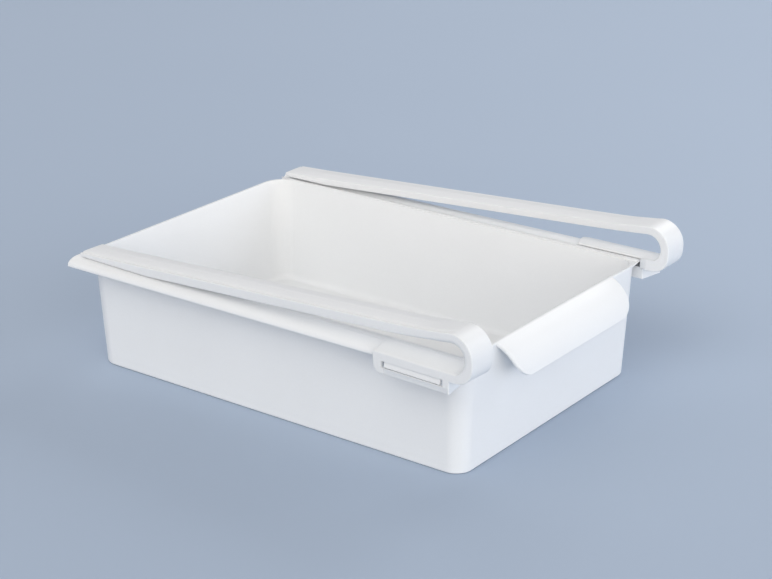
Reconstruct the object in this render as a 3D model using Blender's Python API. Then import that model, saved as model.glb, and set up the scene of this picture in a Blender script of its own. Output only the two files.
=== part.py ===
"""Under-shelf fridge drawer: an open tub and two spring clips that hold it on a shelf.

Run in Blender. Metres, +Z up. The origin is the centre of the tub's underside,
the pull lip faces -Y, and the side rails and clips run along Y.
"""
import math

import bmesh
import bpy

MM = 0.001

# Tub shell
TUB_BASE_WIDTH = 191.2 * MM
TUB_BASE_LENGTH = 295.0 * MM
TUB_RIM_WIDTH = 198.8 * MM
TUB_RIM_LENGTH = 303.2 * MM
TUB_HEIGHT = 77.0 * MM
RIM_RISE = 1.4 * MM
TUB_WALL = 2.0 * MM
TUB_FLOOR = 2.2 * MM
FRONT_CORNER_RADIUS = 12.5 * MM
REAR_CORNER_RADIUS = 13.0 * MM
REAR_CORNER_FLARE = 4.0 * MM
BASE_RADIUS = 1.2 * MM
CAVITY_RADIUS = 4.0 * MM
CAVITY_OVERSHOOT = 8.0 * MM
CORNER_STEPS = 8
EDGE_STEPS = 4

# Side rails, moulded in one with the tub; offsets run outward from the side wall
RAIL_WIDTH = 15.8 * MM
RAIL_THICKNESS = 2.0 * MM
RAIL_ROOT = 9.0 * MM
RAIL_FRONT_INSET = 0.6 * MM
RAIL_REAR_INSET = 3.6 * MM
RIDGE_OFFSET = -1.7 * MM
RIDGE_RISE = 1.4 * MM
DIP_OFFSET = 0.2 * MM
DIP_RISE = 0.6 * MM
CROWN_OFFSET = 6.1 * MM
CROWN_RISE = 2.0 * MM
ROLL_DROP = 5.6 * MM
ROLL_STEPS = 7
LIP_DEPTH = 0.9 * MM
CURVE_STEPS = 4

# Pull lip on the tub's front wall
PULL_HALF_WIDTH = 66.0 * MM
PULL_TAPER = 1.5 * MM
PULL_CORNER = 15.0 * MM
PULL_THICKNESS = 2.2 * MM
PULL_CURVE_RADIUS = 28.0 * MM
PULL_START_ANGLE = 22.0
PULL_END_ANGLE = 80.0
PULL_ROOT_INSET = 0.4 * MM
PULL_ROOT_DEPTH = 1.8 * MM
PULL_STEPS = 14

# Spring clips: one hairpin strip with a bracket on its short lower arm
STRIP_WIDTH = 20.0 * MM
STRIP_THICKNESS = 5.3 * MM
STRIP_OUTER_THICKNESS = 6.8 * MM
LOWER_THICKNESS = 6.6 * MM
STRIP_INSET = 1.4 * MM
STRIP_EDGE = 0.6 * MM
STRIP_LEVEL = 1.3 * MM
BEND_RADIUS = 15.0 * MM
BEND_REACH = 21.1 * MM
BEND_STEPS = 18
ARM_LEAVE_ANGLE = 5.5
ARM_SETTLE_LENGTH = 44.0 * MM
ARM_SETTLE_STEPS = 4
ARM_REAR_INSET = 7.6 * MM
ARM_REST_LENGTH = 36.0 * MM
ARM_REST_GAP = 0.35 * MM
CREASE_OFFSET = 9.0 * MM
CREASE_DROP = 0.6 * MM
BORDER_WIDTH = 2.5 * MM
BORDER_DROP = 0.9 * MM
BORDER_STEP = 0.1 * MM

# Bracket that wraps the rail
BRACKET_LENGTH = 52.5 * MM
BRACKET_FRONT_REACH = 4.9 * MM
BRACKET_REAR_SLANT = 2.4 * MM
BRACKET_BLEND = 7.0 * MM
BRACKET_BLEND_STEPS = 5
BRACKET_WALL = 1.5 * MM
PLATE_THICKNESS = 1.5 * MM
PLATE_GAP = 0.4 * MM
PLATE_EDGE = 0.8 * MM
PLATE_INSET = 1.8 * MM
PLATE_INNER_FALL = 1.5 * MM
ROOF_INNER_FALL = 1.2 * MM
PLATE_CURVE_WIDTH = 4.5 * MM
PLATE_CURVE_DROP = 0.7 * MM
PLATE_SLOPE = 0.47
ROOF_LEVEL_WIDTH = 2.6 * MM
SIDE_PLAY = 1.3 * MM
END_PLAY = 1.4 * MM
FLOOR_GAP = 0.4 * MM
FLOOR_THICKNESS = 1.8 * MM
BOX_DEPTH = 8.0 * MM
BOX_CORNER = 5.5 * MM
BOX_WALL_GAP = 1.2 * MM
WINDOW_FRONT_MARGIN = 4.5 * MM
WINDOW_REAR_MARGIN = 3.5 * MM
WINDOW_HEIGHT = 4.2 * MM
TONGUE_SLOT = 2.0 * MM
TONGUE_GAP = 0.9 * MM
TONGUE_RECESS = 0.3 * MM
TONGUE_OVERLAP = 0.4 * MM

# The left clip stands slightly turned in its play, tail inwards
LEFT_CLIP_YAW = -1.94
RIGHT_CLIP_YAW = 0.0

# Shared places worked out from the sizes above
HALF_RIM_WIDTH = TUB_RIM_WIDTH / 2
HALF_RIM_LENGTH = TUB_RIM_LENGTH / 2
RAIL_OUTER = HALF_RIM_WIDTH + RAIL_WIDTH
RAIL_FRONT = -HALF_RIM_LENGTH + RAIL_FRONT_INSET
RAIL_REAR = HALF_RIM_LENGTH - RAIL_REAR_INSET
CROWN_X = HALF_RIM_WIDTH + CROWN_OFFSET
CROWN_Z = TUB_HEIGHT + CROWN_RISE
ROLL_Z = CROWN_Z - ROLL_DROP
LIP_Z = ROLL_Z - LIP_DEPTH
STRIP_INNER = HALF_RIM_WIDTH - STRIP_INSET
PLATE_INNER = STRIP_INNER + PLATE_INSET
BRACKET_OUTER = RAIL_OUTER + SIDE_PLAY + BRACKET_WALL
BRACKET_INNER = HALF_RIM_WIDTH + BOX_WALL_GAP
BRACKET_FRONT = -HALF_RIM_LENGTH - BRACKET_FRONT_REACH
BRACKET_REAR = BRACKET_FRONT + BRACKET_LENGTH
FLOOR_Z = LIP_Z - FLOOR_GAP
STRIP_TOP_Z = TUB_HEIGHT + STRIP_LEVEL
STRIP_BASE_Z = STRIP_TOP_Z - LOWER_THICKNESS
PLATE_CROWN_Z = CROWN_Z + PLATE_GAP + PLATE_THICKNESS
BEND_Y = -HALF_RIM_LENGTH - BEND_REACH + BEND_RADIUS
BEND_Z = STRIP_BASE_Z + BEND_RADIUS
ARM_REAR = HALF_RIM_LENGTH - ARM_REAR_INSET
ARM_TOUCH = ARM_REAR - ARM_REST_LENGTH
ARM_TOUCH_Z = CROWN_Z + ARM_REST_GAP


def clear_scene():
    for item in list(bpy.data.objects):
        bpy.data.objects.remove(item, do_unlink=True)


def plastic(name, color, roughness):
    """A smooth moulded plastic."""
    material = bpy.data.materials.new(name)
    material.use_nodes = True
    shader = material.node_tree.nodes["Principled BSDF"]
    shader.inputs["Base Color"].default_value = (*color, 1.0)
    shader.inputs["Roughness"].default_value = roughness
    shader.inputs["Metallic"].default_value = 0.0
    return material


def loft(name, rings):
    """A closed solid through rings of equal point count, flat at both ends."""
    mesh_data = bmesh.new()
    rows = []
    for ring in rings:
        rows.append([mesh_data.verts.new(point) for point in ring])
    count = len(rows[0])
    for low, high in zip(rows, rows[1:]):
        for i in range(count):
            j = (i + 1) % count
            mesh_data.faces.new((low[i], low[j], high[j], high[i]))
    mesh_data.faces.new(rows[0])
    mesh_data.faces.new(rows[-1])
    bmesh.ops.recalc_face_normals(mesh_data, faces=mesh_data.faces)
    mesh = bpy.data.meshes.new(name)
    mesh_data.to_mesh(mesh)
    mesh_data.free()
    item = bpy.data.objects.new(name, mesh)
    bpy.context.scene.collection.objects.link(item)
    return item


def helper(item, parent=None):
    """Marks a shape that only cuts or joins another one."""
    item.hide_render = True
    item.display_type = "WIRE"
    if parent is not None:
        item.parent = parent
    return item


def combine(target, operation, other):
    modifier = target.modifiers.new(other.name, "BOOLEAN")
    modifier.operation = operation
    modifier.solver = "EXACT"
    modifier.object = other


def smooth(item, material, angle=35.0):
    item.data.materials.append(material)
    item.data.shade_smooth()
    item.data.set_sharp_from_angle(angle=math.radians(angle))


def rounded_rectangle(half_x, half_y, radii, height_at):
    """One ring of a rounded rectangle with front and rear radii; height_at gives z from y."""
    ring = []
    corners = ((1, 1, 0), (-1, 1, 90), (-1, -1, 180), (1, -1, 270))
    for side_x, side_y, start in corners:
        radius = radii[0] if side_y < 0 else radii[1]
        for step in range(CORNER_STEPS + 1):
            angle = math.radians(start + 90 * step / CORNER_STEPS)
            x = side_x * (half_x - radius) + radius * math.cos(angle)
            y = side_y * (half_y - radius) + radius * math.sin(angle)
            ring.append((x, y, height_at(y)))
    return ring


def rim_height(y):
    return TUB_HEIGHT + RIM_RISE * y / TUB_RIM_LENGTH


def wall_half_sizes(z):
    """Outer half width and half length of the flared wall at height z."""
    share = z / TUB_HEIGHT
    half_x = (TUB_BASE_WIDTH + (TUB_RIM_WIDTH - TUB_BASE_WIDTH) * share) / 2
    half_y = (TUB_BASE_LENGTH + (TUB_RIM_LENGTH - TUB_BASE_LENGTH) * share) / 2
    return half_x, half_y


def corner_radii(z, shrink):
    """Front and rear corner radii at height z, less an inset."""
    rear = REAR_CORNER_RADIUS + REAR_CORNER_FLARE * z / TUB_HEIGHT
    return FRONT_CORNER_RADIUS - shrink, rear - shrink


def flared_rings(inset, floor_z, edge_radius, top_at):
    """Rings up the flared wall, starting with a rounded bottom edge."""
    rings = []
    for step in range(EDGE_STEPS + 1):
        angle = math.radians(90 * step / EDGE_STEPS)
        z = floor_z + edge_radius * (1 - math.cos(angle))
        pull = inset + edge_radius * (1 - math.sin(angle))
        half_x, half_y = wall_half_sizes(z)
        radii = corner_radii(z, pull)
        rings.append(rounded_rectangle(half_x - pull, half_y - pull, radii, lambda y, z=z: z))
    top_z = top_at(0.0)
    half_x, half_y = wall_half_sizes(top_z)
    radii = corner_radii(top_z, inset)
    rings.append(rounded_rectangle(half_x - inset, half_y - inset, radii, top_at))
    return rings


def eased(start, end, share):
    return start + (end - start) * (1 - math.cos(math.pi * share)) / 2


def curve_through(knots):
    """Smooth points (x, z) through knots given as offset from the side wall and height."""
    points = []
    for (x0, z0), (x1, z1) in zip(knots, knots[1:]):
        for step in range(CURVE_STEPS):
            share = step / CURVE_STEPS
            points.append((HALF_RIM_WIDTH + x0 + (x1 - x0) * share, eased(z0, z1, share)))
    points.append((HALF_RIM_WIDTH + knots[-1][0], knots[-1][1]))
    return points


def rolled_edge(inset):
    """Points (x, z) from the rail's crown over to its outer face, some depth inside."""
    points = []
    for step in range(1, ROLL_STEPS + 1):
        angle = math.radians(90 * step / ROLL_STEPS)
        x = CROWN_X + (RAIL_OUTER - CROWN_X - inset) * math.sin(angle)
        points.append((x, ROLL_Z + (ROLL_DROP - inset) * math.cos(angle)))
    return points


def rail_section():
    """The rail's closed outline (x, z) on the right side of the tub."""
    top = curve_through((
        (RIDGE_OFFSET, TUB_HEIGHT + RIDGE_RISE),
        (DIP_OFFSET, TUB_HEIGHT + DIP_RISE),
        (CROWN_OFFSET, CROWN_Z),
    ))
    root_x = HALF_RIM_WIDTH - RAIL_ROOT
    root_z = TUB_HEIGHT - RIM_RISE / 2
    outline = [(root_x, root_z - RAIL_THICKNESS), (root_x, root_z)]
    outline.append((HALF_RIM_WIDTH - TUB_WALL / 2, root_z))
    outline.extend(top)
    outline.extend(rolled_edge(0.0))
    outline.append((RAIL_OUTER, LIP_Z))
    outline.append((RAIL_OUTER - RAIL_THICKNESS, LIP_Z))
    outline.extend(reversed(rolled_edge(RAIL_THICKNESS)))
    outline.extend((x, z - RAIL_THICKNESS) for x, z in reversed(top[1:]))
    return outline


def mirrored(points, side):
    return [(side * x, y, z) for x, y, z in points]


def make_rail(side):
    outline = rail_section()
    rings = []
    for y in (RAIL_FRONT, RAIL_REAR):
        rings.append(mirrored([(x, y, z) for x, z in outline], side))
    return loft("rail_form_" + ("right" if side > 0 else "left"), rings)


def pull_half_width(arc, arc_length):
    """Half width of the pull lip at a distance down its curve."""
    corner_start = arc_length - PULL_CORNER
    if arc <= corner_start:
        return PULL_HALF_WIDTH - PULL_TAPER * arc / corner_start
    rise = arc - corner_start
    flat = PULL_HALF_WIDTH - PULL_TAPER - PULL_CORNER
    return flat + math.sqrt(max(PULL_CORNER ** 2 - rise ** 2, 0.0))


def make_pull():
    """The curved pull lip: an arc in side view with rounded lower corners."""
    start = math.radians(PULL_START_ANGLE)
    end = math.radians(PULL_END_ANGLE)
    arc_length = PULL_CURVE_RADIUS * (end - start)
    top_y = -HALF_RIM_LENGTH + PULL_ROOT_INSET
    top_z = rim_height(-HALF_RIM_LENGTH)
    inner_radius = PULL_CURVE_RADIUS - PULL_THICKNESS
    center_y = top_y + PULL_CURVE_RADIUS * math.sin(start)
    center_z = top_z - PULL_CURVE_RADIUS * math.cos(start)
    root_y = -HALF_RIM_LENGTH + PULL_ROOT_DEPTH
    rings = [[
        (-PULL_HALF_WIDTH, root_y, top_z),
        (PULL_HALF_WIDTH, root_y, top_z),
        (PULL_HALF_WIDTH, root_y, top_z - PULL_THICKNESS),
        (-PULL_HALF_WIDTH, root_y, top_z - PULL_THICKNESS),
    ]]
    for step in range(PULL_STEPS + 1):
        angle = start + (end - start) * math.sin(math.pi / 2 * step / PULL_STEPS)
        half = pull_half_width(PULL_CURVE_RADIUS * (angle - start), arc_length)
        outer_y = center_y - PULL_CURVE_RADIUS * math.sin(angle)
        outer_z = center_z + PULL_CURVE_RADIUS * math.cos(angle)
        inner_y = center_y - inner_radius * math.sin(angle)
        inner_z = center_z + inner_radius * math.cos(angle)
        rings.append([
            (-half, outer_y, outer_z),
            (half, outer_y, outer_z),
            (half, inner_y, inner_z),
            (-half, inner_y, inner_z),
        ])
    return loft("pull_form", rings)


def make_tub(material):
    body = loft("drawer_tub", flared_rings(0.0, 0.0, BASE_RADIUS, rim_height))
    for side in (1, -1):
        combine(body, "UNION", helper(make_rail(side), body))
    combine(body, "UNION", helper(make_pull(), body))
    top = TUB_HEIGHT + CAVITY_OVERSHOOT
    cavity = loft("cavity_cutter", flared_rings(TUB_WALL, TUB_FLOOR, CAVITY_RADIUS, lambda y: top))
    combine(body, "DIFFERENCE", helper(cavity, body))
    smooth(body, material)
    return body


def strip_samples():
    """Distances across the flat strip, with the crease and border lines among them."""
    border = STRIP_WIDTH - BORDER_WIDTH
    samples = edge_samples(STRIP_EDGE)
    samples += [CREASE_OFFSET / 3, CREASE_OFFSET * 2 / 3]
    samples += [CREASE_OFFSET, (border + CREASE_OFFSET) / 2, border - STRIP_EDGE]
    samples += [border - BORDER_STEP, border, border + BORDER_WIDTH / 2]
    samples += [STRIP_WIDTH - u for u in reversed(edge_samples(STRIP_EDGE))]
    return samples


def edge_samples(edge):
    """Distances in from a strip's side that follow its rounded edge."""
    return [edge * (1 - math.cos(math.radians(angle))) for angle in (0, 45, 90)]


def edge_drop(distance, width, edge):
    """How far a rounded edge falls away near the two sides of a strip."""
    near = min(distance, width - distance)
    if near >= edge:
        return 0.0
    return edge - math.sqrt(max(edge ** 2 - (edge - near) ** 2, 0.0))


def strip_outer(distance, relief):
    """Depth below the hairpin's outer surface: the crease slope and the low border."""
    drop = CREASE_DROP * max(0.0, 1 - distance / CREASE_OFFSET)
    if distance >= STRIP_WIDTH - BORDER_WIDTH:
        drop = BORDER_DROP
    return relief * drop + edge_drop(distance, STRIP_WIDTH, STRIP_EDGE)


def strip_section(inner_thickness, outer_thickness, relief):
    """Section of the strip as (distance across, depth below the outer surface)."""
    outer = []
    inner = []
    for u in strip_samples():
        depth = inner_thickness + (outer_thickness - inner_thickness) * u / STRIP_WIDTH
        outer.append((u, strip_outer(u, relief)))
        inner.append((u, depth - edge_drop(u, STRIP_WIDTH, STRIP_EDGE)))
    return outer + inner[::-1]


def plate_top(x):
    """Height of the plate over the rail: crowned, falling away outward."""
    if x < CROWN_X:
        share = (x - PLATE_INNER) / (CROWN_X - PLATE_INNER)
        return eased(PLATE_CROWN_Z - PLATE_INNER_FALL, PLATE_CROWN_Z, share)
    beyond = x - CROWN_X
    curved = min(beyond, PLATE_CURVE_WIDTH)
    drop = PLATE_CURVE_DROP * (curved / PLATE_CURVE_WIDTH) ** 2
    return PLATE_CROWN_Z - drop - PLATE_SLOPE * (beyond - curved)


def roof_height(x):
    """Height of the plate's underside, level just inward of the rail's crown."""
    if x < CROWN_X:
        share = (x - PLATE_INNER) / (CROWN_X - ROOF_LEVEL_WIDTH - PLATE_INNER)
        crown = PLATE_CROWN_Z - PLATE_THICKNESS
        return eased(crown - ROOF_INNER_FALL, crown, min(share, 1.0))
    return plate_top(x) - PLATE_THICKNESS


def plate_places():
    """Places across the plate, as many as the strip has."""
    places = [PLATE_INNER + u for u in edge_samples(PLATE_EDGE)]
    places += [PLATE_INNER + (CROWN_X - PLATE_INNER) * share for share in (1 / 3, 2 / 3, 1)]
    places += [CROWN_X + PLATE_CURVE_WIDTH * step / CURVE_STEPS for step in range(1, CURVE_STEPS + 1)]
    places += [(CROWN_X + PLATE_CURVE_WIDTH + BRACKET_OUTER) / 2]
    places += [BRACKET_OUTER - u for u in reversed(edge_samples(PLATE_EDGE))]
    return places


def plate_section():
    """Section of the lower arm over the rail, flat below and crowned above."""
    width = BRACKET_OUTER - PLATE_INNER
    outer = []
    inner = []
    for x in plate_places():
        top = plate_top(x) - edge_drop(x - PLATE_INNER, width, PLATE_EDGE)
        outer.append((x - STRIP_INNER, 0.0))
        inner.append((x - STRIP_INNER, top - STRIP_BASE_Z))
    return outer + inner[::-1]


def blended(first, second, share):
    pairs = zip(first, second)
    return [(eased(a[0], b[0], share), eased(a[1], b[1], share)) for a, b in pairs]


def placed(section, y, z, direction):
    """Stands a section across the path; direction is 0 forward, 180 back."""
    normal_y = math.sin(direction)
    normal_z = math.cos(direction)
    return [(STRIP_INNER + u, y + normal_y * n, z + normal_z * n) for u, n in section]


def arm_path():
    """Places along the arm's top as (y, z, slope): a soft curve, then straight to the rail."""
    start_y = BEND_Y + BEND_RADIUS * math.sin(math.radians(ARM_LEAVE_ANGLE))
    start_z = BEND_Z + BEND_RADIUS * math.cos(math.radians(ARM_LEAVE_ANGLE))
    steep = math.tan(math.radians(ARM_LEAVE_ANGLE))
    straight_y = start_y + ARM_SETTLE_LENGTH
    fall = start_z - ARM_TOUCH_Z - STRIP_THICKNESS - steep * ARM_SETTLE_LENGTH / 2
    gentle = fall / (ARM_TOUCH - straight_y + ARM_SETTLE_LENGTH / 2)
    path = []
    for step in range(1, ARM_SETTLE_STEPS + 1):
        run = ARM_SETTLE_LENGTH * step / ARM_SETTLE_STEPS
        slope = steep + (gentle - steep) * step / ARM_SETTLE_STEPS
        path.append((start_y + run, start_z - run * (steep + slope) / 2, slope))
    straight_z = path[-1][1]
    outer_touch = ARM_TOUCH - (STRIP_OUTER_THICKNESS - STRIP_THICKNESS) / gentle
    for y in (outer_touch, ARM_TOUCH, ARM_REAR - STRIP_THICKNESS, ARM_REAR):
        path.append((y, straight_z - gentle * (y - straight_y), gentle))
    return path


def hairpin_rings():
    """Sections from the bracket's rear, forward, round the bend and back along the arm."""
    plate = plate_section()
    lower = strip_section(LOWER_THICKNESS, LOWER_THICKNESS, 0.0)
    slant = BRACKET_REAR_SLANT / (BRACKET_OUTER - PLATE_INNER)
    rear = placed(plate, BRACKET_REAR, STRIP_BASE_Z, 0.0)
    rings = [[(x, y + slant * (x - PLATE_INNER), z) for x, y, z in rear]]
    for step in range(BRACKET_BLEND_STEPS):
        share = step / BRACKET_BLEND_STEPS
        y = BEND_Y + BRACKET_BLEND * (1 - share)
        rings.append(placed(blended(plate, lower, share), y, STRIP_BASE_Z, 0.0))
    sweep = math.pi + math.radians(ARM_LEAVE_ANGLE)
    for step in range(BEND_STEPS + 1):
        angle = sweep * step / BEND_STEPS
        share = step / BEND_STEPS
        inner = LOWER_THICKNESS + (STRIP_THICKNESS - LOWER_THICKNESS) * share
        outer = LOWER_THICKNESS + (STRIP_OUTER_THICKNESS - LOWER_THICKNESS) * share
        y = BEND_Y - BEND_RADIUS * math.sin(angle)
        z = BEND_Z - BEND_RADIUS * math.cos(angle)
        rings.append(placed(strip_section(inner, outer, 0.0), y, z, angle))
    for y, z, slope in arm_path():
        inner = min(STRIP_THICKNESS, z - ARM_TOUCH_Z)
        outer = min(STRIP_OUTER_THICKNESS, z - ARM_TOUCH_Z)
        rings.append(placed(strip_section(inner, outer, 1.0), y, z, math.pi + math.atan(slope)))
    rings[-1] = [(x, ARM_REAR, max(z, ARM_TOUCH_Z)) for x, y, z in rings[-1]]
    return rings


def box_form():
    """The bracket's lower box, with a rounded lower rear corner."""
    bottom = FLOOR_Z - BOX_DEPTH
    top = STRIP_BASE_Z + STRIP_EDGE
    rings = []
    for x, rear in ((BRACKET_INNER, BRACKET_REAR), (BRACKET_OUTER, BRACKET_REAR + BRACKET_REAR_SLANT)):
        ring = [(x, BRACKET_FRONT, top), (x, BRACKET_FRONT, bottom)]
        for step in range(CORNER_STEPS + 1):
            angle = math.radians(90 * step / CORNER_STEPS)
            y = rear - BOX_CORNER * (1 - math.sin(angle))
            ring.append((x, y, bottom + BOX_CORNER * (1 - math.cos(angle))))
        ring.append((x, rear, top))
        rings.append(ring)
    return rings


def block(x0, x1, y0, y1, z0, z1):
    """Two rings of a plain block."""
    return [[(x0, y, z0), (x1, y, z0), (x1, y, z1), (x0, y, z1)] for y in (y0, y1)]


def channel_rings():
    """The space the rail runs in, with its play all round."""
    outer = RAIL_OUTER + SIDE_PLAY
    inner = STRIP_INNER - STRIP_WIDTH
    below = STRIP_BASE_Z - STRIP_THICKNESS
    outline = [(inner, below), (inner, roof_height(PLATE_INNER))]
    outline += [(x, roof_height(x)) for x in plate_places() if x < outer]
    outline += [(outer, roof_height(outer)), (outer, FLOOR_Z)]
    outline += [(BRACKET_INNER, FLOOR_Z), (BRACKET_INNER, below)]
    front = RAIL_FRONT - END_PLAY
    rear = BRACKET_REAR + STRIP_WIDTH
    return [[(x, y, z) for x, z in outline] for y in (front, rear)]


def clip_forms():
    """Every shape of a right-hand clip: name, rings and how it joins the strip."""
    bottom = FLOOR_Z - BOX_DEPTH
    hollow_top = FLOOR_Z - FLOOR_THICKNESS
    window_top = FLOOR_Z
    window_low = window_top - WINDOW_HEIGHT
    window_front = BRACKET_FRONT + WINDOW_FRONT_MARGIN
    window_rear = BRACKET_REAR - WINDOW_REAR_MARGIN
    wall_face = BRACKET_OUTER - BRACKET_WALL
    hollow = block(
        BRACKET_INNER + BRACKET_WALL, wall_face,
        BRACKET_FRONT + BRACKET_WALL, BRACKET_REAR - BRACKET_WALL,
        bottom - BOX_DEPTH, hollow_top)
    window = block(
        wall_face - BRACKET_WALL, BRACKET_OUTER + BRACKET_WALL,
        window_front, window_rear, window_low, window_top)
    tongue = block(
        wall_face, BRACKET_OUTER - TONGUE_RECESS,
        window_front + TONGUE_SLOT, window_rear - TONGUE_SLOT,
        window_low + TONGUE_GAP, window_top + TONGUE_OVERLAP)
    return (
        ("box", box_form(), "UNION"),
        ("channel", channel_rings(), "DIFFERENCE"),
        ("hollow", hollow, "DIFFERENCE"),
        ("window", window, "DIFFERENCE"),
        ("tongue", tongue, "UNION"),
    )


def make_clip(name, side, yaw, material):
    """A clip on one side; its origin stands on the rail at the bracket's rear."""
    def local(rings):
        moved = [[(x - STRIP_INNER, y - BRACKET_REAR, z) for x, y, z in ring] for ring in rings]
        return [mirrored(ring, side) for ring in moved]

    clip = loft(name, local(hairpin_rings()))
    clip.location = (side * STRIP_INNER, BRACKET_REAR, 0.0)
    clip.rotation_euler = (0.0, 0.0, math.radians(yaw))
    for form, rings, operation in clip_forms():
        combine(clip, operation, helper(loft(name + "_" + form, local(rings)), clip))
    smooth(clip, material)
    return clip


def main():
    clear_scene()
    tub_white = plastic("tub_white", (0.86, 0.88, 0.90), 0.38)
    clip_white = plastic("clip_white", (0.87, 0.88, 0.89), 0.34)
    make_tub(tub_white)
    make_clip("rail_clip_left", -1, LEFT_CLIP_YAW, clip_white)
    make_clip("rail_clip_right", 1, RIGHT_CLIP_YAW, clip_white)


main()
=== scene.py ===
"""Look of the under-shelf fridge drawer: moulded white plastic on a pale blue-grey floor."""
import math

import bmesh
import bpy
from mathutils import Matrix, Vector


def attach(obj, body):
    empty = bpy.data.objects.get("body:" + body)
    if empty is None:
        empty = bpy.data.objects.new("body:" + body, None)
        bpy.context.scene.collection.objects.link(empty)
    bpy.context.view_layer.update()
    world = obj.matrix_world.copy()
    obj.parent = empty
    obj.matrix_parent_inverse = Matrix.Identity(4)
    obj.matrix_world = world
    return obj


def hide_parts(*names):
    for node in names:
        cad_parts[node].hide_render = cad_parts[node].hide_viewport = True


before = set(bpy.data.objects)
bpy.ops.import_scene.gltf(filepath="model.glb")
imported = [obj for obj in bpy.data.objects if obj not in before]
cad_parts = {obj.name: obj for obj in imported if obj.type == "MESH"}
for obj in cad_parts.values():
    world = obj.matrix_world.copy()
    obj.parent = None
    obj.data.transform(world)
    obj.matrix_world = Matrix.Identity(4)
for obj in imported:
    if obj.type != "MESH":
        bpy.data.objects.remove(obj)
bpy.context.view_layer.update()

MM = 0.001

# Sizes are in millimetres and angles in degrees, unless a comment says otherwise.

# Tub shell
BASE_WIDTH = 191.2
BASE_LENGTH = 295.0
RIM_WIDTH = 198.8
RIM_LENGTH = 303.2
TUB_HEIGHT = 77.0
RIM_RISE = 1.4
TUB_WALL = 2.0
TUB_FLOOR = 2.2
FRONT_CORNER = 12.5
REAR_CORNER = 13.0
REAR_FLARE = 4.0
FRONT_FLARE = 1.5
BASE_RADIUS = 1.2
RIM_RADIUS = 0.6
CAVITY_RADIUS = 4.0
CAVITY_OVERSHOOT = 8.0
CORNER_STEPS = 14
WALL_LEVELS = (20.0, 40.0, 60.0)

# Side rails
RAIL_WIDTH = 15.8
RAIL_THICKNESS = 2.0
RAIL_ROOT = 9.0
RAIL_FRONT_INSET = 0.6
RAIL_REAR_INSET = 3.6
RIDGE_OFFSET = -1.7
RIDGE_RISE = 1.4
DIP_OFFSET = 0.2
DIP_RISE = 0.6
CROWN_OFFSET = 6.1
CROWN_RISE = 2.0
ROLL_DROP = 5.6
LIP_DEPTH = 0.9
LIP_RADIUS = 0.7
RAIL_END_RADIUS = 0.5
RAIL_END_SHRINK = 0.8
RAIL_REAR_SLANT = 3.2
ROLL_STEPS = 14

# Pull lip
PULL_HALF_WIDTH = 66.0
PULL_TAPER = 1.5
PULL_CORNER = 15.0
PULL_THICKNESS = 2.2
PULL_CURVE = 28.0
PULL_START = 22.0
PULL_END = 80.0
PULL_ROOT_INSET = 0.4
PULL_ROOT_DEPTH = 1.8
PULL_EDGE = 0.8
PULL_STEPS = 28

# Hairpin strip of a clip
STRIP_WIDTH = 20.0
STRIP_THICKNESS = 5.3
STRIP_OUTER_THICKNESS = 6.8
LOWER_THICKNESS = 6.6
STRIP_INSET = 1.4
STRIP_EDGE = 0.6
STRIP_LEVEL = 1.3
BEND_RADIUS = 15.0
BEND_REACH = 21.1
BEND_SQUARENESS = 2.6
HOLE_CORNER_REACH = 3.9
HOLE_CORNER_SLOPE = 0.8
LEAVE_ANGLE = 5.5
SETTLE_LENGTH = 44.0
ARM_REAR_INSET = 7.6
ARM_REST_LENGTH = 36.0
ARM_REST_GAP = 0.35
CREASE_OFFSET = 9.0
CREASE_DROP = 0.6
CREASE_CUT = 0.32
CREASE_REACH = 1.0
CREASE_START = 8.0
CREASE_GROWTH = 16.0
CREASE_FADE = 30.0
CREASE_AT_END = 0.3
OUTER_FALL = 0.5
BORDER_WIDTH = 2.5
BORDER_DROP = 0.45
BORDER_RAMP_START = 0.9
BORDER_RAMP = 1.1
BORDER_CUT = 0.3
BORDER_CUT_PLACE = 0.2
BORDER_CUT_REACH = 0.8
BORDER_WIDENING = 3.0
BORDER_SETTLE = 12.0
RELIEF_AT_BEND = 0.25
RELIEF_GROWTH = 10.0
RELIEF_SHARE = 0.93
HOLE_FILLET = 3.2
FILLET_SETTLE = 40.0
BEND_STEPS = 48
ARM_RUNS = (2, 4, 6, 8, 10, 12, 15, 18, 22, 26, 30, 35, 40)

# Bracket of a clip
BRACKET_LENGTH = 52.5
BRACKET_REACH = 4.9
BRACKET_SLANT = 2.4
BRACKET_BLEND = 7.0
BRACKET_FRONT_SLANT = 3.6
BRACKET_WALL = 1.5
PLATE_THICKNESS = 1.5
PLATE_GAP = 0.4
PLATE_EDGE = 0.8
PLATE_INSET = 1.8
PLATE_FALL = 1.5
ROOF_FALL = 1.2
PLATE_CURVE = 4.5
PLATE_CURVE_DROP = 0.7
PLATE_SLOPE = 0.36
ROOF_LEVEL = 2.6
SIDE_PLAY = 1.3
END_PLAY = 0.45
FLOOR_GAP = 0.4
FLOOR_THICKNESS = 1.8
BOX_DEPTH = 8.0
BOX_CORNER = 5.5
BOX_WALL_GAP = 1.2
BOX_EDGE = 0.5
BOX_INNER_EDGE = 0.3
WINDOW_FRONT = 4.5
WINDOW_REAR = 3.5
WINDOW_HEIGHT = 4.2
TONGUE_SLOT = 2.0
TONGUE_GAP = 0.5
TONGUE_OVERLAP = 0.4
TONGUE_LEAN = 0.9
TONGUE_RECESS = 0.1
TONGUE_BEVEL = 0.25
CHIN_DEPTH = 0.9
CHIN_HEIGHT = 3.4
CHIN_STEP_SHARE = 0.52
CHIN_FRONT_INSET = 1.2
CHIN_REAR_INSET = 5.5
CUT_MARGIN = 1.0

# The near clip's turn at rest, which is play in its bracket
LEFT_YAW = -1.94

# Meshes: sharpest smooth edge, and the distance in metres at which corners merge
SHARP_ANGLE = 42.0
MERGE_DISTANCE = 0.00001

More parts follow.
